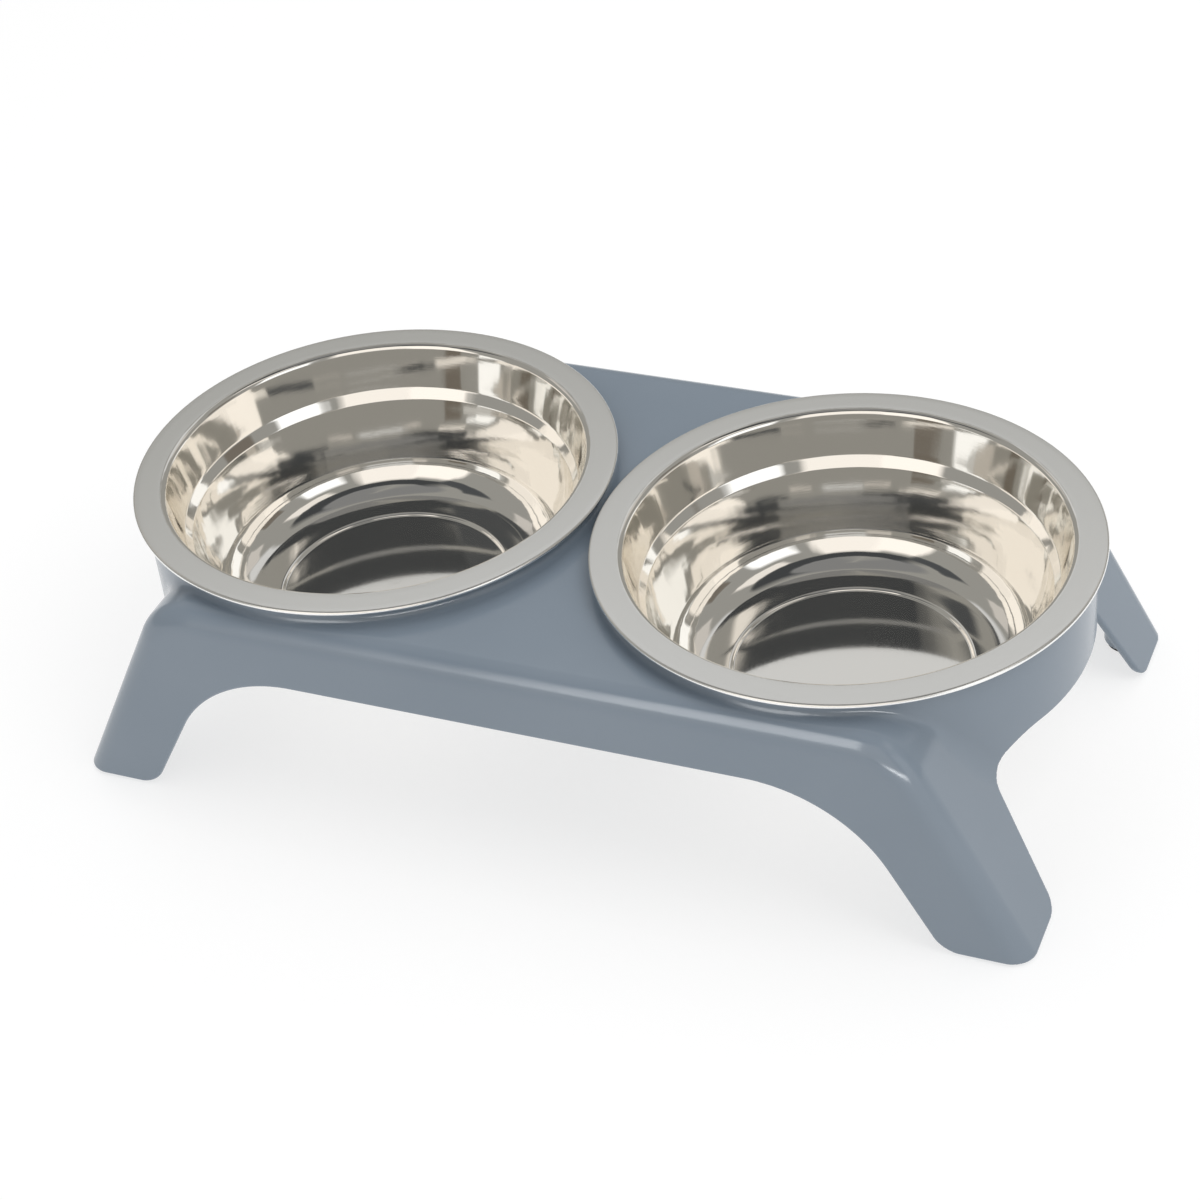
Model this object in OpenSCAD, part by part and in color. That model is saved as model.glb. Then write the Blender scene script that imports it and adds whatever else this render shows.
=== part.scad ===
// Double pet bowl: two pressed steel bowls that hang in a moulded stand with four splayed legs.
// The origin is on the floor, midway between the bowls. X runs from bowl to bowl, Z points up.

/* [Bowls] */
// Outside diameter of a bowl's rim
rim_d = 160; // [140:1:180]
// Gap between the two rims
rim_gap = 2; // [0.5:0.5:12]
// Height of the rims above the floor
rim_h = 84; // [76:1:110]
// Width of the flange, from the rim's edge to the corner of the wall
flange_w = 10.4; // [8:0.1:14]
// Diameter of the rolled edge of the rim
bead_d = 1.6; // [1.2:0.1:2.4]
// Thickness of the pressed sheet
sheet = 0.8; // [0.5:0.1:0.9]
// Depth of a bowl, from the rim to the middle of its floor
bowl_depth = 50.5; // [44:0.5:58]
// Depth of the ledge's upper edge below the rim
ledge_depth = 15.2; // [10:0.2:22]
// Height of the ledge, from its lower to its upper edge
ledge_h = 3.2; // [2:0.1:6]
// Width of the ledge, measured level
ledge_w = 2.2; // [1:0.1:5]
// Lean of the upper wall from upright, in degrees
upper_lean = 14.7; // [5:0.5:20]
// Lean of the lower wall from upright, in degrees
lower_lean = 14.2; // [5:0.5:20]
// Radius between the lower wall and the floor
floor_bend = 14; // [6:0.5:18]
// Radius of the disc that is stamped into the floor
disc_r = 38.8; // [20:0.2:42]
// Depth of the stamped disc
disc_drop = 0.8; // [0.4:0.1:1.5]

/* [Stand] */
// Length of the stand over the feet
stand_l = 325; // [310:1:360]
// Width of the stand
stand_w = 167.6; // [160:0.2:190]
// Thickness of the moulded walls
wall = 2.5; // [1.8:0.1:3.5]
// Depth of the deck below the rims
deck_drop = 6.5; // [4:0.1:12]
// Radius of the shoulder from the deck into a leg
shoulder_r = 24; // [14:0.5:32]
// Radius of the long edges of the deck and of the legs' outer edges
edge_r = 7.5; // [4:0.1:10]
// Lean of the legs from upright, in degrees
leg_lean = 27.5; // [20:0.5:32]
// Distance that a rim overhangs its collar
rim_overhang = 3.4; // [2:0.1:5]
// Radius of the collar's upper edge
collar_edge_r = 1; // [0.4:0.1:2]
// Clearance round a bowl in its collar
bowl_clear = 0.5; // [0.3:0.1:2]
// Depth of the lip round the collar's opening
lip_h = 3; // [1:0.5:6]

/* [Openings between the legs] */
// Height of the front and back openings
front_arch_h = 54.8; // [44:0.2:60]
// Radius of the front and back openings' upper corners
front_arch_r = 50; // [30:1:56]
// Width of a foot, seen from the front
front_foot_w = 27.5; // [22:0.5:40]
// Lean of a leg's inner edge, seen from the front, in degrees
front_inner_lean = 29.5; // [22:0.5:34]
// Height of the end openings
end_arch_h = 52; // [40:0.5:58]
// Radius of the end openings' upper corners
end_arch_r = 20; // [14:1:30]
// Width of a foot, seen from the end
end_foot_w = 28; // [24:0.5:36]
// Lean of a leg's inner edge, seen from the end, in degrees
end_inner_lean = 11; // [4:0.5:16]
// Drop of an end opening's arc, from its top to the leg's inner edge
end_knee_drop = 8; // [4:0.5:12]
// Radius of the feet's lower corners
foot_corner_r = 5; // [2:0.5:7]

/* [Foot pads] */
// Diameter of a pad
pad_d = 13; // [10:0.5:14]
// Thickness of a pad
pad_t = 2; // [1.4:0.1:3]
// Distance that a pad stands proud of the leg
pad_proud = 0.8; // [0.4:0.1:1.2]
// Clearance round a pad
pad_clear = 0.5; // [0.3:0.1:1]
// Diameter of a pad's stem
stem_d = 6; // [4:0.2:7]
// Length of a pad's stem
stem_l = 8; // [5:0.5:12]
// Height of the post that holds a pad
post_h = 12; // [10:1:34]

/* [Ribs] */
// Thickness of the ribs under the deck
rib_t = 1.8; // [1.2:0.1:2.4]
// Depth of the ribs below the deck
rib_h = 12; // [6:0.5:16]
// Distance of the lengthwise ribs from the front and back
rib_inset = 20; // [14:0.5:24]

/* [Hidden] */
$fn = 128;

// Overrun of the cuts, and the bite of one moulded feature into the next
over = 1;
bite = 0.5;
// Lap of a turned shoulder into the flat runs beside it, in degrees, and its relief below their faces
turn_lap = 2;
turn_relief = 0.02;
// Chamfer of a foot pad's edges
pad_chamfer = 0.6;
// Play of a rubber stem in its socket, and the room past the stem's end
stem_clear = 0.05;
socket_spare = 1;
// Steps on each bend of the pressed sheet, and round the rolled edge
bend_steps = 8;
bead_steps = 24;
// Radii of the sheet's smaller bends, measured on the inside of the bowl
rim_bend = 2;
ledge_upper_bend = 3;
ledge_lower_bend = 2;
disc_inner_bend = 0.8;
disc_outer_bend = 1.6;

rim_r = rim_d / 2;
bead_r = bead_d / 2;
bowl_x = (rim_d + rim_gap) / 2;
sole_h = pad_proud;
deck_h = rim_h - deck_drop;
seat_h = rim_h - sheet;
collar_r = rim_r - rim_overhang;
hole_r = rim_r - flange_w + rim_bend + bowl_clear;
half_l = stand_l / 2;
half_w = stand_w / 2;

// Corners of a bowl's inner face, from the middle of the floor out to the rim
corner_r = rim_r - flange_w;
upper_r = corner_r - ledge_depth * tan(upper_lean);
ledge_r = upper_r - ledge_w;
ring_depth = bowl_depth - disc_drop;
base_r = ledge_r - (ring_depth - ledge_depth - ledge_h) * tan(lower_lean);
bowl_corners = [
    [0, -bowl_depth],
    [disc_r - disc_drop, -bowl_depth],
    [disc_r, -ring_depth],
    [base_r, -ring_depth],
    [ledge_r, -ledge_depth - ledge_h],
    [upper_r, -ledge_depth],
    [corner_r, 0],
    [rim_r - bead_r, 0]
];

// Room on the ring round the disc for the bend into the wall
bend_room = (base_r - disc_r - disc_outer_bend) * tan((90 + lower_lean) / 2);
bowl_bends = [
    0,
    disc_inner_bend,
    disc_outer_bend,
    min(floor_bend, bend_room),
    ledge_lower_bend,
    ledge_upper_bend,
    rim_bend,
    0
];

function unit(v) = v / norm(v);
function turned(v) = [-v[1], v[0]];
function side(p, i) = turned(unit(p[i + 1] - p[i]));

// Corner i of the outline p moved sideways by d
function shifted(p, i, d) =
    i == 0 ? p[0] + d * side(p, 0)
    : i == len(p) - 1 ? p[i] + d * side(p, i - 1)
    : let (a = side(p, i - 1), b = side(p, i)) p[i] + d * (a + b) / (1 + a * b);

// Arc of radius r that rounds the corner at p between a and b
function bend(a, p, b, r) =
    let (u = unit(a - p))
    let (v = unit(b - p))
    let (half = acos(u * v) / 2)
    let (c = p + unit(u + v) * r / sin(half))
    let (from = p + u * r / tan(half) - c)
    let (to = p + v * r / tan(half) - c)
    let (start = atan2(from[1], from[0]))
    let (sweep = (atan2(to[1], to[0]) - start + 540) % 360 - 180)
    [for (i = [0:bend_steps]) let (t = start + sweep * i / bend_steps) c + r * [cos(t), sin(t)]];

// The outline p moved sideways by d, with its corners rounded by the radii that the first outline has
function sheet_line(p, radii, d) =
    let (q = [for (i = [0:len(p) - 1]) shifted(p, i, d)])
    [for (i = [0:len(q) - 1])
        let (way = i == 0 || i == len(q) - 1 ? 0 : sign(cross(q[i] - q[i - 1], q[i + 1] - q[i])))
        let (r = radii[i] - d * way)
        each (way == 0 || r <= 0 ? [q[i]] : bend(q[i - 1], q[i], q[i + 1], r))
    ];

// Rolled edge of the rim, clockwise from the top of the flange round to its underside
bead_sweep = 270 + asin(1 - sheet / bead_r);
bead_line = [for (i = [1:bead_steps])
    let (t = 90 - bead_sweep * i / bead_steps)
    [rim_r - bead_r + bead_r * cos(t), -bead_r + bead_r * sin(t)]
];

module bowl() {
    inner = sheet_line(bowl_corners, bowl_bends, 0);
    outer = sheet_line(bowl_corners, bowl_bends, -sheet);
    rotate_extrude() polygon(concat(
        inner,
        bead_line,
        [for (i = [len(outer) - 2:-1:0]) outer[i]]
    ));
}

module left_bowl() {
    color([0.78, 0.77, 0.75]) translate([-bowl_x, 0, rim_h]) bowl();
}

module right_bowl() {
    color([0.78, 0.77, 0.75]) translate([bowl_x, 0, rim_h]) bowl();
}

// Sliver between the corner at p and the arc of radius r that rounds it
module corner_sliver(a, p, b, r) {
    u = unit(a - p);
    v = unit(b - p);
    half = acos(u * v) / 2;
    c = p + unit(u + v) * r / sin(half);
    difference() {
        polygon([p, p + u * r / tan(half), c, p + v * r / tan(half)]);
        translate(c) circle(r);
    }
}

// Where a leg's outer face is at a height, and the axis of the right shoulder's bend
function leg_x(z) = half_l - (z - sole_h) * tan(leg_lean);
turn = 90 - leg_lean;
shoulder = [leg_x(deck_h) - shoulder_r * tan(turn / 2), deck_h - shoulder_r];
leg_length = (shoulder[1] + over) / cos(leg_lean) + shoulder_r * tan(leg_lean);

// Section of the deck and legs with its outer corners rounded
// X runs out from the shoulder's axis, Y runs across the stand
module section(inset) {
    depth = shoulder_r - inset;
    w = half_w - inset;
    difference() {
        translate([0, -w]) square([depth, 2 * w]);
        for (n = [0, 1]) mirror([0, n]) corner_sliver([0, w], [depth, w], [depth, 0], edge_r - inset);
    }
}

// Core between the two shoulders, lapped into the runs round it
core_top = [shoulder[0] + over * (1 - sin(leg_lean)) / cos(leg_lean), shoulder[1] + over];
core_x = core_top[0] + (core_top[1] + over) * tan(leg_lean);

// Body with rounded long edges, all of its faces moved inwards by inset
module body(inset) {
    translate([0, 0, shoulder[1]]) rotate([0, -90, 0])
        linear_extrude(2 * shoulder[0], center = true) section(inset);
    for (m = [0, 1]) mirror([m, 0, 0]) translate([shoulder[0], 0, shoulder[1]]) {
        rotate([90, 0, 0]) rotate([0, 0, leg_lean - turn_lap])
            rotate_extrude(angle = turn + 2 * turn_lap) section(inset + turn_relief);
        rotate([0, -leg_lean, 0]) translate([0, 0, -leg_length]) linear_extrude(leg_length) section(inset);
    }
    rotate([90, 0, 0]) linear_extrude(2 * (half_w - inset), center = true)
        polygon([[-core_x, -over], [core_x, -over], core_top, [-core_top[0], core_top[1]]]);
}

// Corners of half an opening between two legs, from the middle of its top out to the foot's sole
front_corner_x = half_l - front_foot_w;
front_points = [
    [0, front_arch_h],
    [front_corner_x - (front_arch_h - sole_h) * tan(front_inner_lean), front_arch_h],
    [front_corner_x, sole_h],
    [front_corner_x + front_foot_w / 2, sole_h]
];
end_corner_y = half_w - end_foot_w;
end_knee_h = end_arch_h - end_knee_drop;
end_knee_y = end_corner_y - (end_knee_h - sole_h) * tan(end_inner_lean);
end_arc_y = end_knee_y - sqrt(end_arch_r ^ 2 - (end_arch_r - end_knee_drop) ^ 2);
end_points = [
    [0, end_arch_h],
    [end_arc_y, end_arch_h],
    [end_knee_y, end_knee_h],
    [end_corner_y, sole_h],
    [end_corner_y + end_foot_w / 2, sole_h]
];

// Straight-sided half opening whose leg has a rounded corner at its sole
module half_opening(points) {
    n = len(points);
    polygon(concat(points, [[points[n - 1][0], -over], [0, -over]]));
    corner_sliver(points[n - 3], points[n - 2], points[n - 1], foot_corner_r);
}

module front_half_opening() {
    difference() {
        half_opening(front_points);
        corner_sliver(front_points[0], front_points[1], front_points[2], front_arch_r);
    }
}

module end_half_opening() {
    half_opening(end_points);
    intersection() {
        translate([end_arc_y, end_arch_h - end_arch_r]) circle(end_arch_r);
        translate([0, end_knee_h]) square([end_knee_y, end_knee_drop]);
    }
}

// Cuts through the front and back plates, and through the end plates with the skirts above them
module front_openings() {
    reach = max(half_w, collar_r) + over - half_w + edge_r;
    for (n = [0, 1]) mirror([0, n, 0]) translate([0, edge_r - half_w, 0]) rotate([90, 0, 0])
        linear_extrude(reach) for (m = [0, 1]) mirror([m, 0]) front_half_opening();
}

module end_openings() {
    reach = max(half_l - bowl_x, collar_r) + over;
    for (m = [0, 1]) mirror([m, 0, 0]) translate([bowl_x, 0, 0]) rotate([90, 0, 90])
        linear_extrude(reach) for (n = [0, 1]) mirror([n, 0]) end_half_opening();
}

// Everything below the soles
module ground() {
    depth = shoulder_r + 2 * over;
    translate([-stand_l, -stand_w, sole_h - depth]) cube([2 * stand_l, 2 * stand_w, depth]);
}

// Raised collar that carries a rim; past the deck's end it runs down as a skirt, into the legs
module collar_outside() {
    rotate_extrude() difference() {
        square([collar_r, seat_h]);
        corner_sliver([0, seat_h], [collar_r, seat_h], [collar_r, 0], collar_edge_r);
    }
}

module collar_inside() {
    translate([0, 0, -over]) cylinder(h = seat_h - wall + over, r = collar_r - wall);
    translate([0, 0, -over]) cylinder(h = seat_h + 2 * over, r = hole_r);
}

// Lip that hangs from the seat, between the opening and the collar's wall
module collar_lip() {
    translate([0, 0, seat_h - wall - lip_h]) difference() {
        cylinder(h = lip_h + bite, r = collar_r - wall + bite);
        translate([0, 0, -over]) cylinder(h = lip_h + bite + 2 * over, r = hole_r);
    }
}

// Ribs under the deck: one across the waist between the bowls, one along the front and one along the back
module ribs() {
    rib_z = deck_h - wall - rib_h;
    rib_y = half_w - rib_inset;
    difference() {
        intersection() {
            union() {
                translate([-rib_t / 2, -half_w, rib_z]) cube([rib_t, stand_w, rib_h + bite]);
                for (n = [0, 1]) mirror([0, n, 0])
                    translate([-bowl_x, rib_y - rib_t / 2, rib_z]) cube([2 * bowl_x, rib_t, rib_h + bite]);
            }
            body(wall - bite);
        }
        at_bowls() collar_inside();
    }
}

// Place of the front right foot pad, in the corner between a leg's two plates
pad_r = pad_d / 2;
pad_x = leg_x(pad_t) - wall / cos(leg_lean) - pad_clear - pad_r;
pad_y = half_w - wall - pad_clear - pad_r;

// Post that stands in a leg's corner over its pad
module post() {
    intersection() {
        translate([pad_x, pad_y, pad_t]) cylinder(h = post_h, r = pad_r + pad_clear + bite);
        body(wall - bite);
    }
}

module socket() {
    translate([pad_x, pad_y, pad_t - over])
        cylinder(h = stem_l + socket_spare + over, r = stem_d / 2 + stem_clear);
}

module at_bowls() {
    for (m = [0, 1]) mirror([m, 0, 0]) translate([bowl_x, 0, 0]) children();
}

module at_corners() {
    for (m = [0, 1], n = [0, 1]) mirror([m, 0, 0]) mirror([0, n, 0]) children();
}

// Hollow body with both collars, then with the openings between its legs
module hollow() {
    difference() {
        union() {
            body(0);
            at_bowls() collar_outside();
        }
        body(wall);
        at_bowls() collar_inside();
    }
}

module shell() {
    difference() {
        difference() {
            hollow();
            end_openings();
        }
        front_openings();
        ground();
    }
}

module stand() {
    color([0.46, 0.52, 0.58]) difference() {
        union() {
            shell();
            at_bowls() collar_lip();
            ribs();
            at_corners() post();
        }
        at_corners() socket();
    }
}

// Soft pad with the stem that plugs into its post
module foot_pad() {
    stem_r = stem_d / 2;
    rotate_extrude() polygon([
        [0, 0],
        [pad_r - pad_chamfer, 0],
        [pad_r, pad_chamfer],
        [pad_r, pad_t],
        [stem_r, pad_t],
        [stem_r, pad_t + stem_l - pad_chamfer],
        [stem_r - pad_chamfer, pad_t + stem_l],
        [0, pad_t + stem_l]
    ]);
}

module front_left_foot() {
    color([0.16, 0.16, 0.17]) translate([-pad_x, -pad_y, 0]) foot_pad();
}

module front_right_foot() {
    color([0.16, 0.16, 0.17]) translate([pad_x, -pad_y, 0]) foot_pad();
}

module rear_left_foot() {
    color([0.16, 0.16, 0.17]) translate([-pad_x, pad_y, 0]) foot_pad();
}

module rear_right_foot() {
    color([0.16, 0.16, 0.17]) translate([pad_x, pad_y, 0]) foot_pad();
}

stand();
left_bowl();
right_bowl();
front_left_foot();
front_right_foot();
rear_left_foot();
rear_right_foot();
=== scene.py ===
"""Looks of the double pet bowl: satin moulded stand, pressed steel bowls, soft foot pads."""
import math

import bmesh
import bpy
import numpy as np
from mathutils import Matrix, Vector


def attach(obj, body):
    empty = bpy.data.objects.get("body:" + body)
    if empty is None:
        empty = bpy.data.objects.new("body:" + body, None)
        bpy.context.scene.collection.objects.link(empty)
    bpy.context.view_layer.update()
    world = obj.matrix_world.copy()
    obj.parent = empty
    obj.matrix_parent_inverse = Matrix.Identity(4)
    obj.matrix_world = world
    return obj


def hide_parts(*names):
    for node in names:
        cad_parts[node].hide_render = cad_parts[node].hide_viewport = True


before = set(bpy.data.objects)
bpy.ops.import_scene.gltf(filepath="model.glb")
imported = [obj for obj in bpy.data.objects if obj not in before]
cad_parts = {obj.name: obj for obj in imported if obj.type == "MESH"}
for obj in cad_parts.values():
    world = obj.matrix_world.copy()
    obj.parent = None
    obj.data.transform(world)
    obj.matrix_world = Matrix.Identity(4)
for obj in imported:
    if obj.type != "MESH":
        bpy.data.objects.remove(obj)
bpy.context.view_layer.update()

MM = 0.001

# Sizes of the object in millimetres and degrees, as the construction has them
RIM_R = 80.0
RIM_GAP = 2.0
RIM_H = 84.0
RIM_OVERHANG = 3.4
RIM_BEND = 2.0
FLANGE_W = 10.4
SHEET = 0.8
STAND_L = 325.0
STAND_W = 167.6
WALL = 2.5
DECK_DROP = 6.5
SHOULDER_R = 24.0
EDGE_R = 7.5
LEG_LEAN = 27.5
COLLAR_EDGE_R = 1.0
BOWL_CLEAR = 0.5
LIP_H = 3.0
PAD_R = 6.5
PAD_T = 2.0
PAD_PROUD = 0.8
PAD_CLEAR = 0.5

# Radii, heights and places that follow from them
BOWL_X = RIM_R + RIM_GAP / 2
FLANGE_R = RIM_R - FLANGE_W
COLLAR_R = RIM_R - RIM_OVERHANG
HOLE_R = FLANGE_R + RIM_BEND + BOWL_CLEAR
HALF_L = STAND_L / 2
HALF_W = STAND_W / 2
SEAT_H = RIM_H - SHEET
DECK_H = RIM_H - DECK_DROP
SOLE_H = PAD_PROUD


def link(obj):
    bpy.context.scene.collection.objects.link(obj)
    return obj


def mesh_object(name, verts, faces, smooth=True):
    """Object made of vertices in metres and faces that all have the same number of corners."""
    mesh = bpy.data.meshes.new(name)
    verts = np.asarray(verts, np.float32)
    faces = np.asarray(faces, np.int32)
    count, sides = faces.shape
    mesh.vertices.add(len(verts))
    mesh.vertices.foreach_set("co", verts.ravel())
    mesh.loops.add(count * sides)
    mesh.loops.foreach_set("vertex_index", faces.ravel())
    mesh.polygons.add(count)
    mesh.polygons.foreach_set("loop_start", np.arange(0, count * sides, sides, dtype=np.int32))
    mesh.polygons.foreach_set("loop_total", np.full(count, sides, np.int32))
    mesh.polygons.foreach_set("use_smooth", np.full(count, smooth, bool))
    mesh.update(calc_edges=True)
    mesh.validate()
    return link(bpy.data.objects.new(name, mesh))


# Distance fields: negative inside a form, in millimetres


def round_max(a, b, r):
    """Intersection of two fields whose edge is rounded by r."""
    return np.minimum(np.maximum(a, b), -r) + np.hypot(np.maximum(a + r, 0), np.maximum(b + r, 0))


def blend_min(a, b, reach):
    """Union of two fields with a soft inner corner that reaches that far along both."""
    h = np.maximum(reach - np.abs(a - b), 0) / reach
    return np.minimum(a, b) - h * h * reach / 4


def smooth_step(x):
    x = np.clip(x, 0, 1)
    return x * x * (3 - 2 * x)


def bent_corner(q, up, lean, r):
    """Field of the corner below a level top and inside a leaning side, rounded by r about (0, 0)."""
    s, c = math.sin(math.radians(lean)), math.cos(math.radians(lean))
    beyond = (q > 0) & (up * c - q * s > 0)
    return np.where(beyond, np.hypot(q, up), np.maximum(up, q * c + up * s)) - r


def arch(x, z, top, foot_x, lean, r):
    """Field of an arch with a level top whose leaning side meets the sole's height at foot_x."""
    t, c = math.tan(math.radians(lean)), math.cos(math.radians(lean))
    centre_z = top - r
    centre_x = foot_x - (centre_z - SOLE_H) * t - r / c
    return bent_corner(x - centre_x, z - centre_z, lean, r)


# Outside of the stand: legs and deck are one bent form, which the collars blend into

# The blend is widest where a collar runs down into the legs, and narrower near the deck and the knees
DECK_BLEND = 3.0
LEG_BLEND = 4.0
LEG_BLEND_TOP = DECK_H - 3.0
LEG_BLEND_GROWTH = 20.0
LEG_BLEND_END = 36.0
LEG_BLEND_FADE = 10.0


def stand_skin(x, y, z, radial):
    """Field of the stand's outside, without its openings."""
    body = arch(x, z, DECK_H, HALF_L, LEG_LEAN, SHOULDER_R)
    collar = round_max(radial - COLLAR_R, z - SEAT_H, COLLAR_EDGE_R)
    below = smooth_step((LEG_BLEND_TOP - z) / LEG_BLEND_GROWTH)
    above = smooth_step((z - LEG_BLEND_END) / LEG_BLEND_FADE)
    body = blend_min(body, collar, DECK_BLEND + (LEG_BLEND - DECK_BLEND) * (below * above))
    return round_max(body, y - HALF_W, EDGE_R)


# Openings between the legs: an arch at front and back, and an arc with two knees at each end

FRONT_FOOT_W = 27.5
FRONT_ARCH = {"top": 54.8, "foot_x": HALF_L - FRONT_FOOT_W, "lean": 29.5, "r": 50.0}
END_TOP = 52.0
END_ARCH_R = 20.0
END_KNEE_DROP = 8.0
END_KNEE_R = 3.0
END_LEAN = 11.0
END_FOOT_W = 28.0
END_FOOT_Y = HALF_W - END_FOOT_W
FOOT_CORNER_R = 5.0
CUT_EDGE_R = 1.0


def end_arch(y, z):
    """Field of the opening between two legs seen from the end: an arc down to a knee, then the leg's edge."""
    t, c = math.tan(math.radians(END_LEAN)), math.cos(math.radians(END_LEAN))
    knee_y = END_FOOT_Y - (END_TOP - END_KNEE_DROP - SOLE_H) * t
    rise = END_ARCH_R - END_KNEE_DROP
    arc_y = knee_y - math.sqrt(END_ARCH_R ** 2 - rise ** 2)
    tangent_lean = math.degrees(math.asin(rise / END_ARCH_R))
    top = bent_corner(y - arc_y, z - END_TOP + END_ARCH_R, tangent_lean, END_ARCH_R)
    side = (y - END_FOOT_Y + (z - SOLE_H) * t) * c
    return round_max(top, side, END_KNEE_R)


def kept_by_cuts(x, y, z):
    """Field of all that the openings and the level of the soles leave."""
    sole = SOLE_H - z
    front = round_max(-arch(x, z, **FRONT_ARCH), sole, FOOT_CORNER_R)
    end = round_max(-end_arch(y, z), sole, FOOT_CORNER_R)
    front = np.where(y > HALF_W - EDGE_R, front, sole)
    end = np.where(x > BOWL_X, end, sole)
    return np.maximum(front, end)


# Inside of the stand: a lip round each collar's opening, low ribs under the deck, posts for the pads' stems

RIB_T = 1.8
RIB_H = 12.0
RIB_INSET = 20.0
RIB_Y = HALF_W - RIB_INSET
RIB_BITE = 1.0
RIB_TOP = DECK_H - WALL + RIB_BITE
RIB_BLEND = 1.0
PAD_ROOM = PAD_R + PAD_CLEAR
POST_MARGIN = 0.5
POST_R = PAD_ROOM + POST_MARGIN
POST_H = 12.0
POST_INSET = 1.2
POST_BLEND = 1.0
POST_X = (HALF_L - (PAD_T - SOLE_H) * math.tan(math.radians(LEG_LEAN))
          - WALL / math.cos(math.radians(LEG_LEAN)) - PAD_ROOM)
POST_Y = HALF_W - WALL - PAD_ROOM


def collar_lip(z, radial):
    across = np.maximum(HOLE_R - radial, radial - COLLAR_R + WALL / 2)
    return np.maximum(across, np.maximum(SEAT_H - WALL - LIP_H - z, z - SEAT_H + WALL / 2))


def deck_ribs(x, y, z, radial):
    """Field of one rib across and two along, which end at the collars."""
    height = np.maximum(DECK_H - WALL - RIB_H - z, z - RIB_TOP)
    across = np.maximum(x - RIB_T / 2, y - HALF_W + WALL / 2)
    along = np.maximum(np.abs(y - RIB_Y) - RIB_T / 2, x - BOWL_X)
    return np.maximum(np.maximum(np.minimum(across, along), height), COLLAR_R - WALL - radial)


def foot_post(x, y, z):
    return np.maximum(np.hypot(x - POST_X, y - POST_Y) - POST_R, np.maximum(PAD_T - z, z - PAD_T - POST_H))


def stand_field(x, y, z):
    """Field of the whole moulding."""
    x, y = np.abs(x), np.abs(y)
    radial = np.hypot(x - BOWL_X, y)
    skin = stand_skin(x, y, z, radial)
    shell = round_max(np.maximum(skin, -skin - WALL), HOLE_R - radial, CUT_EDGE_R)
    shell = np.minimum(shell, collar_lip(z, radial))
    shell = round_max(shell, kept_by_cuts(x, y, z), CUT_EDGE_R)
    ribs = np.maximum(deck_ribs(x, y, z, radial), skin + WALL / 2)
    shell = blend_min(shell, ribs, RIB_BLEND)
    return blend_min(shell, np.maximum(foot_post(x, y, z), skin + POST_INSET), POST_BLEND)


# Surface net: the field's surface over one quarter, settled on it, evened out and mirrored

GRID = 0.7
# Cells of room round the object, and layers of the grid that are worked out at a time
NET_ROOM = 2
NET_SLAB = 16
CELL_CORNERS = [(i, j, k) for i in (0, 1) for j in (0, 1) for k in (0, 1)]
SLOPE_STEP = 0.02
LEAST_SLOPE_SQUARED = 0.05
SETTLE_ROUNDS = 4
RELAX_ROUNDS = 2
RELAX_SETTLE_ROUNDS = 2
THIN_SHARE = 0.36
TINY = 1e-6


def slope(field, p):
    """Gradient of the field at points p."""
    g = np.empty_like(p)
    for axis in range(3):
        d = np.zeros(3)
        d[axis] = SLOPE_STEP
        g[:, axis] = (field(*(p + d).T) - field(*(p - d).T)) / (2 * SLOPE_STEP)
    return g


def grid_of(field, size):
    """Grid over the quarter x, y >= 0, with the mirror planes inside its first cells: origin and values."""
    axes = [(np.arange(int(s / GRID) + NET_ROOM + 1) - 0.5) * GRID for s in size[:2]]
    axes.append(np.arange(int(size[2] / GRID) + 2 * NET_ROOM + 1) * GRID - NET_ROOM * GRID)
    slabs = []
    for i in range(0, len(axes[0]), NET_SLAB):
        slab = field(*np.meshgrid(axes[0][i:i + NET_SLAB], axes[1], axes[2], indexing="ij"))
        slabs.append(slab.astype(np.float32))
    return np.array([axis[0] for axis in axes]), np.concatenate(slabs)


def crossed_cells(inside):
    """Cells that the surface runs through, and the number of each in an array of all cells."""
    count = np.zeros(tuple(n - 1 for n in inside.shape), np.int8)
    for i, j, k in CELL_CORNERS:
        count += inside[i:i + count.shape[0], j:j + count.shape[1], k:k + count.shape[2]]
    cells = np.argwhere((count > 0) & (count < len(CELL_CORNERS)))
    number = np.full(count.shape, -1, np.int64)
    number[tuple(cells.T)] = np.arange(len(cells))
    return cells, number


def crossing_means(values, cells):
    """Mean of the places where the surface crosses the edges of each cell, counted in cells."""
    total = np.zeros((len(cells), 3))
    hits = np.zeros(len(cells))
    for start in CELL_CORNERS:
        for axis in range(3):
            if start[axis]:
                continue
            end = list(start)
            end[axis] = 1
            at_start = values[tuple((cells + start).T)].astype(float)
            at_end = values[tuple((cells + end).T)].astype(float)
            cross = (at_start < 0) != (at_end < 0)
            t = np.where(cross, at_start / np.where(cross, at_start - at_end, 1), 0)
            point = cells + np.array(start) + t[:, None] * (np.array(end) - np.array(start))
            total[cross] += point[cross]
            hits += cross
    return total / hits[:, None]


def net_quads(inside, number):
    """One quad round each edge of the grid that the surface crosses, facing out of the form."""
    quads = []
    for axis in range(3):
        u, v = (axis + 1) % 3, (axis + 2) % 3
        low = np.delete(inside, -1, axis)
        high = np.delete(inside, 0, axis)
        edges = np.argwhere(low != high)
        edges = edges[(edges > 0).all(1)]
        ring = []
        for du, dv in ((1, 1), (0, 1), (0, 0), (1, 0)):
            cell = edges.copy()
            cell[:, u] -= du
            cell[:, v] -= dv
            ring.append(number[tuple(cell.T)])
        ring = np.stack(ring, 1)
        flip = ~low[tuple(edges.T)]
        ring[flip] = ring[flip][:, ::-1]
        quads.append(ring)
    return np.concatenate(quads)


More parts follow.
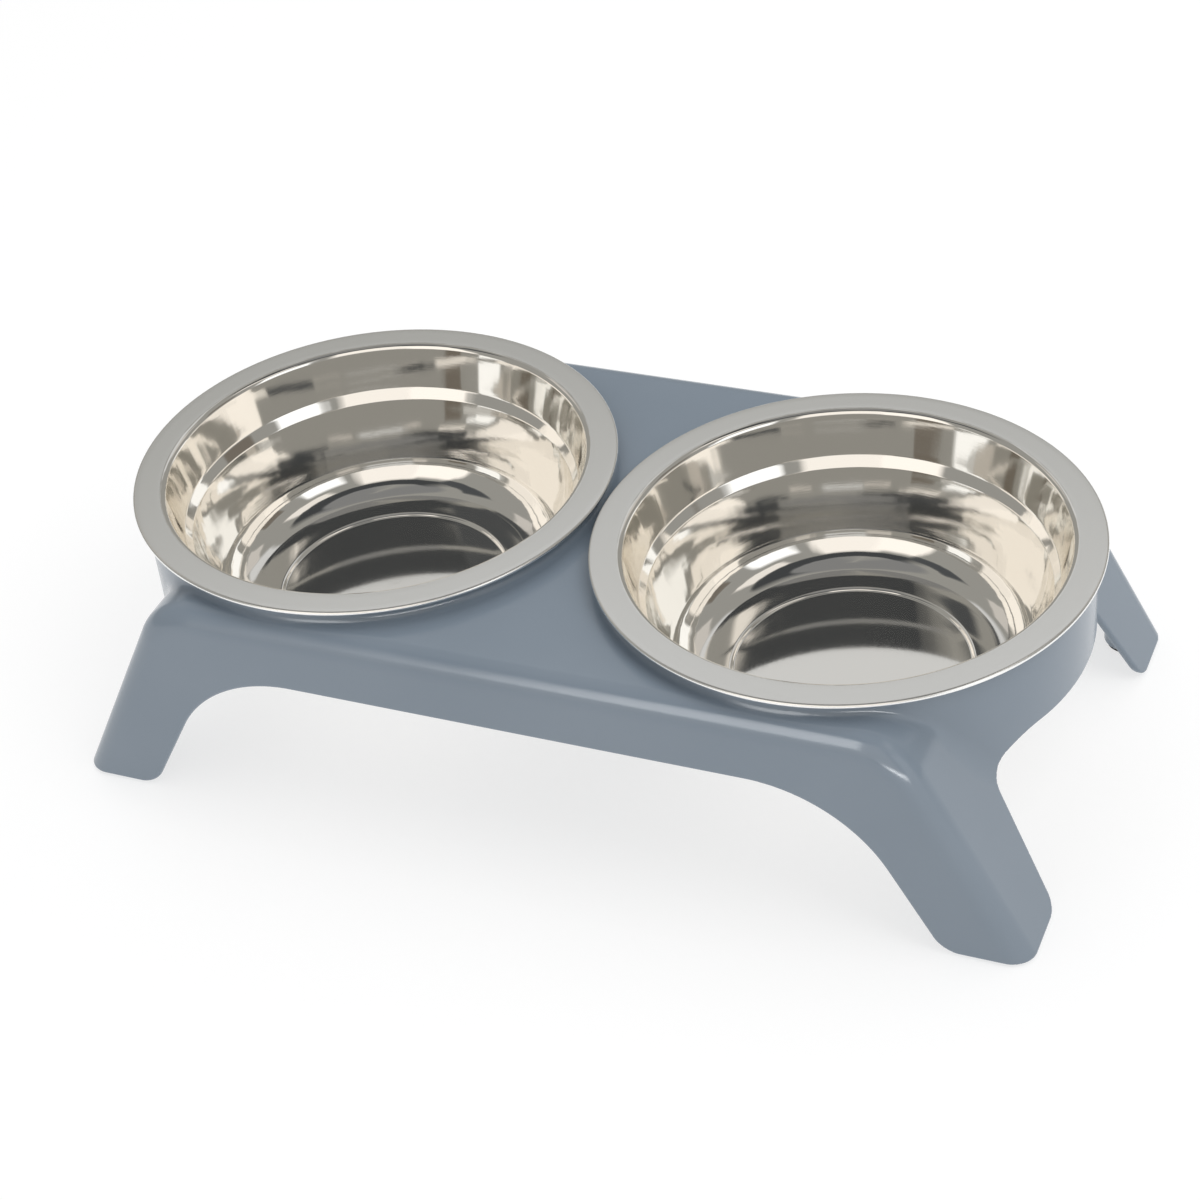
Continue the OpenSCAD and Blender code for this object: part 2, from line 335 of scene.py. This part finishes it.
def quarter_net(field, size):
    """Points and quads of the field's surface over the quarter x, y >= 0, on 0 along the mirror planes."""
    origin, values = grid_of(field, size)
    inside = values < 0
    cells, number = crossed_cells(inside)
    p = crossing_means(values, cells) * GRID + origin
    p[:, :2][cells[:, :2] == 0] = 0
    return p, net_quads(inside, number)


def settle(field, p, rounds):
    """Moves points onto the field's surface along its slope."""
    fixed = p[:, :2] == 0
    for _ in range(rounds):
        g = slope(field, p)
        move = field(*p.T)[:, None] * g / np.maximum((g * g).sum(1), LEAST_SLOPE_SQUARED)[:, None]
        p = p - np.clip(move, -GRID / 2, GRID / 2)
        p[:, :2][fixed] = 0
    return p


def relax(field, p, quads):
    """Evens out the net: points go half way to the middle of their neighbours, then back to the surface."""
    a = np.concatenate([quads[:, i] for i in range(4)])
    b = np.concatenate([quads[:, (i + 1) % 4] for i in range(4)])
    ends, others = np.concatenate([a, b]), np.concatenate([b, a])
    count = np.maximum(np.bincount(ends, minlength=len(p)), 1)[:, None]
    fixed = p[:, :2] == 0
    for _ in range(RELAX_ROUNDS):
        middle = np.stack([np.bincount(ends, p[others, k], len(p)) for k in range(3)], 1) / count
        p = (p + middle) / 2
        p[:, :2][fixed] = 0
        p = settle(field, p, RELAX_SETTLE_ROUNDS)
    return p


def mirrored(p, quads):
    """Whole mesh from the quarter at x, y >= 0, welded along the mirror planes."""
    verts, faces, numbers = [], [], {}
    total = 0
    for sx in (1, -1):
        for sy in (1, -1):
            seam_x = (p[:, 0] == 0) & (sx < 0)
            seam_y = (p[:, 1] == 0) & (sy < 0)
            own = ~(seam_x | seam_y)
            number = np.zeros(len(p), np.int64)
            number[own] = total + np.arange(own.sum())
            if sx < 0:
                number[seam_x] = numbers[1, sy][seam_x]
            if sy < 0:
                number[seam_y] = numbers[sx, 1][seam_y]
            numbers[sx, sy] = number
            verts.append(p[own] * [sx, sy, 1])
            total += own.sum()
            ring = number[quads]
            faces.append(ring if sx == sy else ring[:, ::-1])
    return np.concatenate(verts), np.concatenate(faces)


def thin_out(obj):
    """Leaves a share of the object's faces, fewest where it is flat."""
    obj.modifiers.new("thin", "DECIMATE").ratio = THIN_SHARE
    depsgraph = bpy.context.evaluated_depsgraph_get()
    thin = bpy.data.meshes.new_from_object(obj.evaluated_get(depsgraph))
    obj.modifiers.clear()
    obj.data = thin


def shade_by(field, mesh):
    """Takes the mesh's normals from the field's slope."""
    co = np.empty(len(mesh.vertices) * 3, np.float32)
    mesh.vertices.foreach_get("co", co)
    normals = slope(field, co.reshape(-1, 3).astype(float) / MM)
    normals /= np.maximum(np.linalg.norm(normals, axis=1), TINY)[:, None]
    mesh.polygons.foreach_set("use_smooth", np.ones(len(mesh.polygons), bool))
    mesh.normals_split_custom_set_from_vertices(normals.tolist())


def make_stand():
    """The moulding: the field's surface, thinned out and shaded by the field."""
    p, quads = quarter_net(stand_field, (HALF_L, HALF_W, RIM_H))
    p = relax(stand_field, settle(stand_field, p, SETTLE_ROUNDS), quads)
    verts, quads = mirrored(p, quads)
    stand = mesh_object("stand_moulding", verts * MM, quads)
    thin_out(stand)
    shade_by(stand_field, stand.data)
    return stand


# Bowls: one lathe of the pressed sheet's profile, in millimetres

BOWL_DEPTH = 50.5
DISC_R = 38.8
DISC_DROP = 0.8
DISC_INNER_BEND = 0.8
DISC_OUTER_BEND = 1.6
RING_DEPTH = BOWL_DEPTH - DISC_DROP
BASE_R = 55.6
FLOOR_BEND = 14.0
LEDGE_DEPTH = 15.2
LEDGE_H = 3.2
LEDGE_R = 63.4
LEDGE_LOWER_BEND = 2.0
LEDGE_UPPER_BEND = 3.0
UPPER_R = 65.6
BEAD_R = 0.8

# Radius, height against the rim and bend of the inner face's corners, from the middle of the floor outwards
BOWL_CORNERS = [
    (0.0, -BOWL_DEPTH, 0.0),
    (DISC_R - DISC_DROP, -BOWL_DEPTH, DISC_INNER_BEND),
    (DISC_R, -RING_DEPTH, DISC_OUTER_BEND),
    (BASE_R, -RING_DEPTH, FLOOR_BEND),
    (LEDGE_R, -LEDGE_DEPTH - LEDGE_H, LEDGE_LOWER_BEND),
    (UPPER_R, -LEDGE_DEPTH, LEDGE_UPPER_BEND),
    (FLANGE_R, 0.0, RIM_BEND),
    (RIM_R - BEAD_R, 0.0, 0.0),
]
BOWL_SIDES = 288
RUN_STEP = 2.0
BEND_STEP = math.radians(4)
LEAST_BEND_STEPS = 3
BEAD_STEPS = 40


def unit(v):
    return v / np.linalg.norm(v)


def fillet(a, p, b, r):
    """Points of the arc of radius r that rounds the corner at p between a and b."""
    u, v = unit(a - p), unit(b - p)
    half = math.acos(float(u @ v)) / 2
    centre = p + unit(u + v) * r / math.sin(half)
    start, end = p + u * r / math.tan(half) - centre, p + v * r / math.tan(half) - centre
    t0 = math.atan2(start[1], start[0])
    sweep = (math.atan2(end[1], end[0]) - t0 + math.pi) % (2 * math.pi) - math.pi
    steps = max(LEAST_BEND_STEPS, math.ceil(abs(sweep) / BEND_STEP))
    return [centre + r * np.array([math.cos(t0 + sweep * i / steps), math.sin(t0 + sweep * i / steps)])
            for i in range(steps + 1)]


def sheet_line(shift):
    """The inner face's profile moved sideways by shift, with its bends."""
    corners = [np.array(c[:2]) for c in BOWL_CORNERS]
    sides = [unit(b - a) for a, b in zip(corners, corners[1:])]
    sides = [np.array([-s[1], s[0]]) for s in sides]
    moved = [corners[0] + shift * sides[0]]
    for a, b, p in zip(sides, sides[1:], corners[1:]):
        moved.append(p + shift * (a + b) / (1 + a @ b))
    moved.append(corners[-1] + shift * sides[-1])
    points = [moved[0]]
    for i in range(1, len(moved) - 1):
        ahead, back = moved[i + 1] - moved[i], moved[i] - moved[i - 1]
        turn = math.copysign(1, back[0] * ahead[1] - back[1] * ahead[0])
        r = BOWL_CORNERS[i][2] - shift * turn
        points += fillet(moved[i - 1], moved[i], moved[i + 1], r) if r > 0 else [moved[i]]
    points.append(moved[-1])
    return points


def even_runs(points):
    """The same line with its long straight runs cut into even steps."""
    out = [points[0]]
    for a, b in zip(points, points[1:]):
        steps = max(1, round(float(np.linalg.norm(b - a)) / RUN_STEP))
        out += [a + (b - a) * i / steps for i in range(1, steps + 1)]
    return out


def bowl_profile():
    """Inner face, rolled edge and outer face, from pole to pole."""
    inner = even_runs(sheet_line(0.0))
    outer = even_runs(sheet_line(-SHEET))
    centre = np.array([RIM_R - BEAD_R, -BEAD_R])
    # The edge rolls on until it meets the sheet's outer face
    sweep = math.radians(270) + math.asin(1 - SHEET / BEAD_R)
    bead = [centre + BEAD_R * np.array([math.cos(a), math.sin(a)])
            for a in (math.pi / 2 - sweep * i / BEAD_STEPS for i in range(1, BEAD_STEPS + 1))]
    return np.array(inner + bead + outer[::-1][1:])


def close_poles(mesh, rows):
    """Fans of triangles from the bowl's two last vertices, its poles, to the first and last rows."""
    work = bmesh.new()
    work.from_mesh(mesh)
    work.verts.ensure_lookup_table()
    inner_pole, outer_pole = work.verts[-2], work.verts[-1]
    for side in range(BOWL_SIDES):
        here, there = side * rows, (side + 1) % BOWL_SIDES * rows
        inner = (inner_pole, work.verts[here], work.verts[there])
        outer = (outer_pole, work.verts[there + rows - 1], work.verts[here + rows - 1])
        for corners in (inner, outer):
            work.faces.new(corners).smooth = True
    bmesh.ops.recalc_face_normals(work, faces=work.faces)
    work.to_mesh(mesh)
    work.free()


def make_bowl(name, centre_x):
    """Closed lathe of the profile, with its rim at the rims' height."""
    line = bowl_profile()
    ring = line[1:-1]
    rows = len(ring)
    angles = np.arange(BOWL_SIDES) * 2 * math.pi / BOWL_SIDES
    x = np.outer(np.cos(angles), ring[:, 0])
    y = np.outer(np.sin(angles), ring[:, 0])
    z = np.outer(np.ones(BOWL_SIDES), ring[:, 1])
    poles = np.array([[0, 0, line[0, 1]], [0, 0, line[-1, 1]]])
    verts = np.concatenate([np.stack([x, y, z], 2).reshape(-1, 3), poles])
    i, j = np.meshgrid(np.arange(BOWL_SIDES), np.arange(rows - 1), indexing="ij")
    a, b = i * rows + j, (i + 1) % BOWL_SIDES * rows + j
    bowl = mesh_object(name, verts * MM, np.stack([a, a + 1, b + 1, b], 2).reshape(-1, 4))
    close_poles(bowl.data, rows)
    bowl.location = (centre_x * MM, 0, RIM_H * MM)
    return bowl


# Materials, with lengths in metres

# Range that a noise's values mostly stay in, and the whole range of a share
NOISE = (0.3, 0.7)
WHOLE = (0, 1)


class Nodes:
    """Short hand for building a material's nodes."""

    def __init__(self, name):
        self.material = bpy.data.materials.new(name)
        self.material.use_nodes = True
        self.tree = self.material.node_tree
        self.shader = self.tree.nodes["Principled BSDF"]
        self.output = self.tree.nodes["Material Output"]
        # Place on the object, in its own coordinates
        self.place = self.add("ShaderNodeTexCoord").outputs["Object"]

    def add(self, kind, **values):
        node = self.tree.nodes.new(kind)
        for key, value in values.items():
            setattr(node, key, value)
        return node

    def put(self, socket, value):
        """Wires an output to the socket, or sets the socket to a number."""
        if hasattr(value, "is_output"):
            self.tree.links.new(value, socket)
        else:
            socket.default_value = value

    def set(self, **values):
        """Sets the shader's inputs, whose names are written with _ for a space."""
        for key, value in values.items():
            self.put(self.shader.inputs[key.replace("_", " ")], value)

    def math(self, operation, *values):
        node = self.add("ShaderNodeMath", operation=operation)
        for socket, value in zip(node.inputs, values):
            self.put(socket, value)
        return node.outputs[0]

    def vector(self, *values):
        node = self.add("ShaderNodeCombineXYZ")
        for socket, value in zip(node.inputs, values):
            self.put(socket, value)
        return node.outputs[0]

    def split(self, vector):
        node = self.add("ShaderNodeSeparateXYZ")
        self.put(node.inputs[0], vector)
        return node.outputs

    def noise(self, vector, scale, detail, roughness=0.5):
        node = self.add("ShaderNodeTexNoise")
        self.put(node.inputs["Vector"], vector)
        self.put(node.inputs["Scale"], scale)
        self.put(node.inputs["Detail"], detail)
        self.put(node.inputs["Roughness"], roughness)
        return node.outputs["Fac"]

    def remap(self, value, old, new):
        """Carries the value from the range old to the range new, and holds it there."""
        node = self.add("ShaderNodeMapRange")
        self.put(node.inputs["Value"], value)
        for key, number in zip(("From Min", "From Max", "To Min", "To Max"), (*old, *new)):
            self.put(node.inputs[key], number)
        return node.outputs["Result"]

    def tint(self, value, start, end):
        """Colour between start and end."""
        node = self.add("ShaderNodeMix", data_type="RGBA")
        self.put(node.inputs["Factor"], value)
        self.put(node.inputs["A"], (*start, 1))
        self.put(node.inputs["B"], (*end, 1))
        return node.outputs["Result"]

    def bump(self, height, distance, strength, normal=None):
        node = self.add("ShaderNodeBump")
        self.put(node.inputs["Height"], height)
        self.put(node.inputs["Distance"], distance)
        self.put(node.inputs["Strength"], strength)
        if normal is not None:
            self.put(node.inputs["Normal"], normal)
        return node.outputs["Normal"]


PLASTIC_DARK = (0.205, 0.250, 0.300)
PLASTIC_LIGHT = (0.225, 0.270, 0.320)
PLASTIC_ROUGHNESS = (0.15, 0.21)
PLASTIC_IOR = 1.5


def plastic_material():
    """Satin plastic with faint clouds, slight waves and a fine grain."""
    n = Nodes("stand_plastic")
    clouds = n.remap(n.noise(n.place, scale=14.0, detail=3.0), NOISE, WHOLE)
    gloss = n.noise(n.place, scale=60.0, detail=4.0)
    waves = n.bump(n.noise(n.place, scale=25.0, detail=1.0), distance=0.0003, strength=0.25)
    grain = n.noise(n.place, scale=1800.0, detail=2.0, roughness=0.6)
    n.set(
        Base_Color=n.tint(clouds, PLASTIC_DARK, PLASTIC_LIGHT),
        Roughness=n.remap(gloss, NOISE, PLASTIC_ROUGHNESS),
        IOR=PLASTIC_IOR,
        Normal=n.bump(grain, distance=0.00002, strength=0.5, normal=waves),
    )
    return n.material


STEEL = (0.90, 0.885, 0.855)
SATIN_STEEL = (0.95, 0.95, 0.94)
STEEL_ROUGHNESS = (0.045, 0.07)
SATIN_ROUGHNESS = 0.2
# Radius at which the satin flange starts, and half the width of the change
SATIN_R = 0.0709
SATIN_FADE = 0.0002
# Radii between which the walls' upright streaks set in, and how fast they change with height
STREAK_START = (0.048, 0.058)
STREAK_CHANGE = 2.0
# Change of the turning marks along their circle
RING_CHANGE = 0.004


def steel_material():
    """Polished steel with fine turning marks, faint upright streaks on its walls and a satin flange."""
    n = Nodes("bowl_steel")
    x, y, z = n.split(n.place)
    radius = n.math("SQRT", n.math("ADD", n.math("MULTIPLY", x, x), n.math("MULTIPLY", y, y)))
    satin = n.remap(radius, (SATIN_R - SATIN_FADE, SATIN_R + SATIN_FADE), WHOLE)
    on_wall = n.math("MULTIPLY", n.remap(radius, STREAK_START, WHOLE), n.math("SUBTRACT", 1.0, satin))
    around = n.vector(n.math("DIVIDE", x, radius), n.math("DIVIDE", y, radius),
                      n.math("MULTIPLY", z, STREAK_CHANGE))
    streaks = n.math("MULTIPLY", n.noise(around, scale=8.0, detail=1.0), on_wall)
    along = n.vector(radius, z, n.math("MULTIPLY", n.math("ARCTAN2", y, x), RING_CHANGE))
    rings = n.noise(along, scale=2600.0, detail=2.0, roughness=0.6)
    waves = n.bump(streaks, distance=0.00025, strength=0.5)
    n.set(
        Base_Color=n.tint(satin, STEEL, SATIN_STEEL),
        Metallic=1.0,
        Roughness=n.math("ADD", n.remap(rings, NOISE, STEEL_ROUGHNESS),
                         n.math("MULTIPLY", satin, SATIN_ROUGHNESS)),
        Normal=n.bump(rings, distance=0.000007, strength=0.35, normal=waves),
    )
    return n.material


RUBBER_DARK = (0.012, 0.012, 0.013)
RUBBER_LIGHT = (0.03, 0.03, 0.032)
RUBBER_ROUGHNESS = (0.6, 0.8)


def rubber_material():
    n = Nodes("foot_rubber")
    n.set(
        Base_Color=n.tint(n.noise(n.place, scale=300.0, detail=4.0), RUBBER_DARK, RUBBER_LIGHT),
        Roughness=n.remap(n.noise(n.place, scale=500.0, detail=3.0), NOISE, RUBBER_ROUGHNESS),
        Normal=n.bump(n.noise(n.place, scale=1500.0, detail=3.0), distance=0.00005, strength=0.5),
    )
    return n.material


def dress(obj, material):
    obj.data.materials.clear()
    obj.data.materials.append(material)


# Camera, as fitted to the two rims in the photograph

CAMERA_AT = Vector((0.3202, -0.6625, 0.6119))
CAMERA_AZIMUTH = 26.17
CAMERA_ELEVATION = 37.68
CAMERA_ROLL = -6.72
SENSOR = 36.0
PHOTO_PX = 1200
FOCAL_PX = 2846.9


def make_camera():
    az, el, roll = (math.radians(a) for a in (CAMERA_AZIMUTH, CAMERA_ELEVATION, CAMERA_ROLL))
    ahead = Vector((-math.sin(az) * math.cos(el), math.cos(az) * math.cos(el), -math.sin(el)))
    level = ahead.cross(Vector((0, 0, 1))).normalized()
    up = level.cross(ahead)
    right = level * math.cos(roll) + up * math.sin(roll)
    top = right.cross(ahead)
    data = bpy.data.cameras.new("camera")
    data.sensor_width = SENSOR
    data.lens = SENSOR * FOCAL_PX / PHOTO_PX
    camera = link(bpy.data.objects.new("camera", data))
    turn = Matrix((right, top, -ahead)).transposed()
    camera.matrix_world = Matrix.Translation(CAMERA_AT) @ turn.to_4x4()
    bpy.context.scene.camera = camera


# Studio: pale floor and sky, in metres and degrees

FLOOR_SIZE = 12.0
FLOOR_BASE = 0.36
FLOOR_ROUGHNESS = 0.9
FLOOR_GLOW = 0.685
SKY_LEVEL = 0.62


def make_floor():
    s = FLOOR_SIZE / 2
    corners = [(-s, -s, 0), (s, -s, 0), (s, s, 0), (-s, s, 0)]
    floor = mesh_object("floor", corners, [[0, 1, 2, 3]], smooth=False)
    n = Nodes("floor")
    n.set(
        Base_Color=(FLOOR_BASE, FLOOR_BASE, FLOOR_BASE, 1),
        Roughness=FLOOR_ROUGHNESS,
        Specular_IOR_Level=0.0,
        Emission_Color=(1, 1, 1, 1),
        Emission_Strength=FLOOR_GLOW,
    )
    dress(floor, n.material)


def make_world():
    """White behind the floor, and a dimmer white as light."""
    world = bpy.data.worlds.new("studio")
    bpy.context.scene.world = world
    world.use_nodes = True
    tree = world.node_tree
    back = tree.nodes["Background"]
    back.inputs["Color"].default_value = (1, 1, 1, 1)
    path = tree.nodes.new("ShaderNodeLightPath")
    level = tree.nodes.new("ShaderNodeMapRange")
    level.inputs["To Min"].default_value = SKY_LEVEL
    level.inputs["To Max"].default_value = 1.0
    tree.links.new(path.outputs["Is Camera Ray"], level.inputs["Value"])
    tree.links.new(level.outputs[0], back.inputs["Strength"])


# Cards on a dome, seen only in reflections: what the steel shows of the room

CARD_DISTANCE = 3.0
CARD_GAP = 0.02
CARD_STEPS = (24, 8)
# Share of a card's width and height that its soft edge takes; the room's is too narrow to see
CARD_SOFT_SHARE = 0.12
ROOM_SOFT_SHARE = 1e-4

CREAM = (1.0, 0.945, 0.875)
WHITE = (1.0, 1.0, 0.99)
KHAKI = (1.0, 0.98, 0.91)
BROWN = (1.0, 0.88, 0.74)
GREY = (0.95, 1.0, 1.05)

# Name, azimuth, elevation, width and height in degrees, colour and brightness; later ones stand in front
ROOM = ("room", 0, 45, 360, 90, KHAKI, 0.32)
CARDS = [
    ("ceiling", 0, 79, 360, 22, WHITE, 0.23),
    ("flange_light", -18, 44, 62, 18, WHITE, 0.66),
    ("left_window", -66, 38, 26, 15, CREAM, 0.6),
    ("back_window", 20, 38, 26, 15, CREAM, 0.6),
    ("right_high", 82, 55, 56, 12, CREAM, 0.9),
    ("right_window", 110, 20, 36, 50, WHITE, 1.2),
    ("front_wall", 160, 34, 54, 58, CREAM, 1.05),
    ("front_left_wall", -164, 28, 40, 60, CREAM, 1.15),
    ("right_dark", 66, 26, 24, 16, BROWN, 0.18),
    ("overhead", 125, 67, 240, 14, GREY, 0.06),
    ("left_blind", -118, 58, 64, 12, GREY, 0.08),
]


def towards(azimuth, elevation):
    """Direction from the object: azimuth 0 is straight behind it, 90 is to its right."""
    a, e = math.radians(azimuth), math.radians(elevation)
    return Vector((math.sin(a) * math.cos(e), math.cos(a) * math.cos(e), math.sin(e)))


def card_mesh(name, azimuth, elevation, width, height, distance):
    """Piece of the dome, with a map that runs from 0 to 1 along both of its sides."""
    across, up = CARD_STEPS
    verts, faces, uvs = [], [], []
    for i in range(across + 1):
        for j in range(up + 1):
            u, v = i / across, j / up
            verts.append(distance * towards(azimuth + (u - 0.5) * width, elevation + (v - 0.5) * height))
            uvs.append((u, v))
    for i in range(across):
        for j in range(up):
            a, b = i * (up + 1) + j, (i + 1) * (up + 1) + j
            faces.append((a, b, b + 1, a + 1))
    obj = mesh_object(name, verts, faces)
    layer = obj.data.uv_layers.new(name="card")
    for loop in obj.data.loops:
        layer.data[loop.index].uv = uvs[loop.vertex_index]
    return obj


def card_material(name, colour, level, soft_share):
    """Even glow that fades to nothing at the card's edges."""
    n = Nodes(name)
    edges = []
    for axis in n.split(n.add("ShaderNodeUVMap", uv_map="card").outputs[0])[:2]:
        inset = n.math("SUBTRACT", 0.5, n.math("ABSOLUTE", n.math("SUBTRACT", axis, 0.5)))
        edges.append(n.remap(inset, (0, soft_share), WHOLE))
    glow = n.add("ShaderNodeEmission")
    n.put(glow.inputs["Color"], (*colour, 1))
    n.put(glow.inputs["Strength"], level)
    mix = n.add("ShaderNodeMixShader")
    n.put(mix.inputs[0], n.math("MULTIPLY", *edges))
    n.put(mix.inputs[1], n.add("ShaderNodeBsdfTransparent").outputs[0])
    n.put(mix.inputs[2], glow.outputs[0])
    n.put(n.output.inputs["Surface"], mix.outputs[0])
    return n.material


def card(name, azimuth, elevation, width, height, colour, level, distance, soft_share):
    obj = card_mesh(name, azimuth, elevation, width, height, distance)
    dress(obj, card_material(name, colour, level, soft_share))
    obj.visible_camera = False
    obj.visible_diffuse = False
    obj.visible_shadow = False


# Lamps: place, size and power; the steel doesn't mirror them

LAMP_AIM = Vector((0, 0, 0.05))
LAMPS = [
    ("key", (0.9, -0.2, 1.5), (1.0, 1.0), 7.5),
    ("top", (-0.3, 0.5, 1.6), (1.2, 1.2), 4.5),
]

# Softboxes whose crisp highlights lie along the moulding's front edge and its right shoulder
BAND = {"azimuth": -167, "elevation": 42, "size": (0.75, 1.3), "energy": 13.0}
RIDGE = {"azimuth": 146, "elevation": 5, "size": (1.3, 0.2), "energy": 11.0}
SOFTBOX_DISTANCE = 2.0


def lamp(name, at, size, energy):
    data = bpy.data.lights.new(name, "AREA")
    data.shape = "RECTANGLE"
    data.size, data.size_y = size
    data.energy = energy
    obj = link(bpy.data.objects.new(name, data))
    obj.location = at
    obj.rotation_euler = (LAMP_AIM - Vector(at)).to_track_quat("-Z", "Y").to_euler()
    obj.visible_camera = False
    return obj


def softbox(name, azimuth, elevation, size, energy, lit):
    """Lamp that only the gloss of the given object shows."""
    obj = lamp(name, SOFTBOX_DISTANCE * towards(azimuth, elevation), size, energy)
    only = bpy.data.collections.new(name)
    only.objects.link(lit)
    obj.light_linking.receiver_collection = only
    obj.visible_diffuse = False


def make_studio():
    make_floor()
    make_world()
    card(*ROOM, CARD_DISTANCE + CARD_GAP, ROOM_SOFT_SHARE)
    for i, values in enumerate(CARDS):
        card(*values, CARD_DISTANCE - CARD_GAP * i, CARD_SOFT_SHARE)
    for values in LAMPS:
        lamp(*values).visible_glossy = False


# Bounces between mirrors: with Blender's own 4 the bowls' walls get black patches where they face each other
MIRROR_BOUNCES = 12


def main():
    make_camera()
    make_studio()
    stand = make_stand()
    dress(stand, plastic_material())
    softbox("band_light", **BAND, lit=stand)
    softbox("ridge_light", **RIDGE, lit=stand)
    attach(stand, "stand")
    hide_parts("stand")
    steel = steel_material()
    for side, x in (("left", -BOWL_X), ("right", BOWL_X)):
        bowl = make_bowl(f"{side}_bowl_pressing", x)
        dress(bowl, steel)
        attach(bowl, f"{side}_bowl")
        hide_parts(f"{side}_bowl")
    rubber = rubber_material()
    for name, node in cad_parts.items():
        if name.endswith("_foot"):
            dress(node, rubber)
    bpy.context.scene.view_settings.view_transform = "Standard"
    bpy.context.scene.cycles.glossy_bounces = MIRROR_BOUNCES


main()
